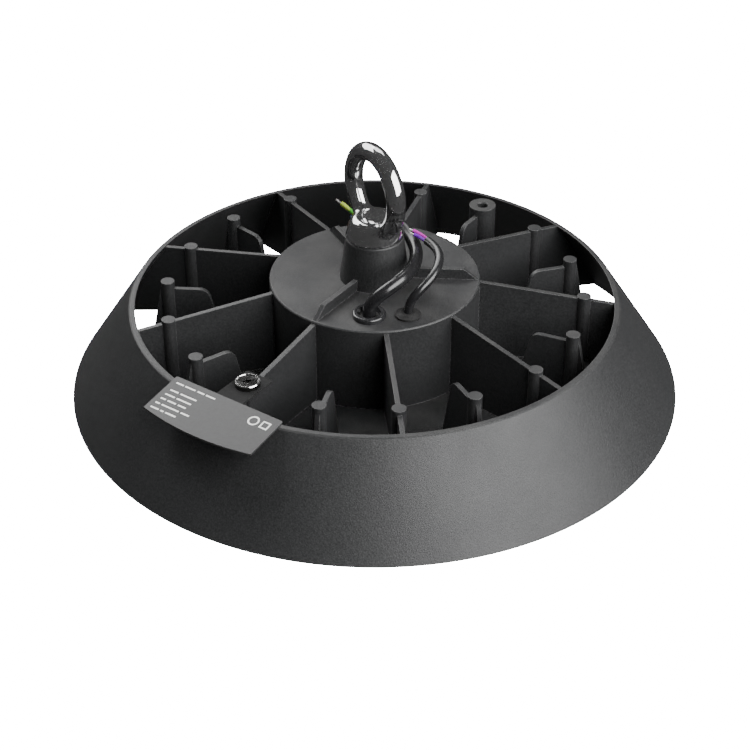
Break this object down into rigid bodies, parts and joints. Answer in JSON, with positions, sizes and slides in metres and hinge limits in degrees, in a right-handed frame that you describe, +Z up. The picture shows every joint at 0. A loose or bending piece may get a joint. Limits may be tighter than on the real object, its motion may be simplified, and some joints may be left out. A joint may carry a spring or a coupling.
{
  "type": "high bay light",
  "caption": "Round ceiling-hung industrial light: finned cast housing with conical skirt, driver compartment, lifting eye, two cable tails, label plate and clear lens plate.",
  "frame": {"origin": "centre of the skirt's bottom rim, on the level that the light rests on", "axes": "+Z up along the light's axis to the lifting eye, +X along one long fin that lines up with a roof rib"},
  "size_m": [0.28, 0.28, 0.119],
  "materials": {
    "powder_coat": "fine-grain black powder coat on cast aluminium",
    "eye_paint": "glossy black finish on forged steel",
    "gland_black": "glossy moulded nylon",
    "black_rubber": "matt black rubber",
    "sheath": "smooth black cable sheath",
    "earth_green": "green insulation with a yellow stripe",
    "line_brown": "brown insulation",
    "neutral_blue": "blue insulation",
    "dim_violet": "violet insulation",
    "dim_pink": "pink insulation",
    "tinned_copper": "tinned strands",
    "label_grey": "satin dark grey sheet with pale print",
    "bright_steel": "bright plated steel",
    "zinc_steel": "zinc plated steel",
    "sheet_aluminium": "plain aluminium",
    "tray_white": "white insulating plastic",
    "board_green": "green solder mask",
    "ferrite": "dark ferrite",
    "winding_tape": "yellow tape over windings",
    "copper_wire": "enamelled copper wire",
    "film_box": "yellow boxed film",
    "moulded_black": "black moulding",
    "terminal_green": "green terminal housings",
    "lead_red": "silicone insulated leads",
    "board_white": "white solder mask on aluminium",
    "phosphor": "yellow phosphor",
    "clear_plastic": "clear moulded polycarbonate"
  },
  "bodies": {
    "root": {"housing": "powder_coat", "lens_ring": "powder_coat", "eye_bolt": "eye_paint", "mains_gland": "gland_black", "mains_gland_nut": "gland_black", "mains_gland_seal": "black_rubber", "dimming_grommet": "black_rubber", "lens_gasket": "black_rubber", "mains_cable": "sheath", "dimming_cable": "sheath", "earth_core": "earth_green", "line_core": "line_brown", "neutral_core": "neutral_blue", "dim_plus_core": "dim_violet", "dim_minus_core": "dim_pink", "core_tips": "tinned_copper", "dim_tips": "tinned_copper", "label_plate": "label_grey", "label_screw": "bright_steel", "cover_screws": "zinc_steel", "lens_screws": "zinc_steel", "driver_cover": "sheet_aluminium", "switch_heatsink": "sheet_aluminium", "bulk_capacitor": "sheet_aluminium", "output_capacitor": "sheet_aluminium", "driver_tray": "tray_white", "driver_board": "board_green", "transformer_core": "ferrite", "transformer_winding": "winding_tape", "line_choke": "copper_wire", "film_capacitors": "film_box", "power_switch": "moulded_black", "terminal_blocks": "terminal_green", "input_leads": "lead_red", "led_leads": "lead_red", "led_board": "board_white", "led_chips": "phosphor", "lens_plate": "clear_plastic"}
  },
  "joints": []
}
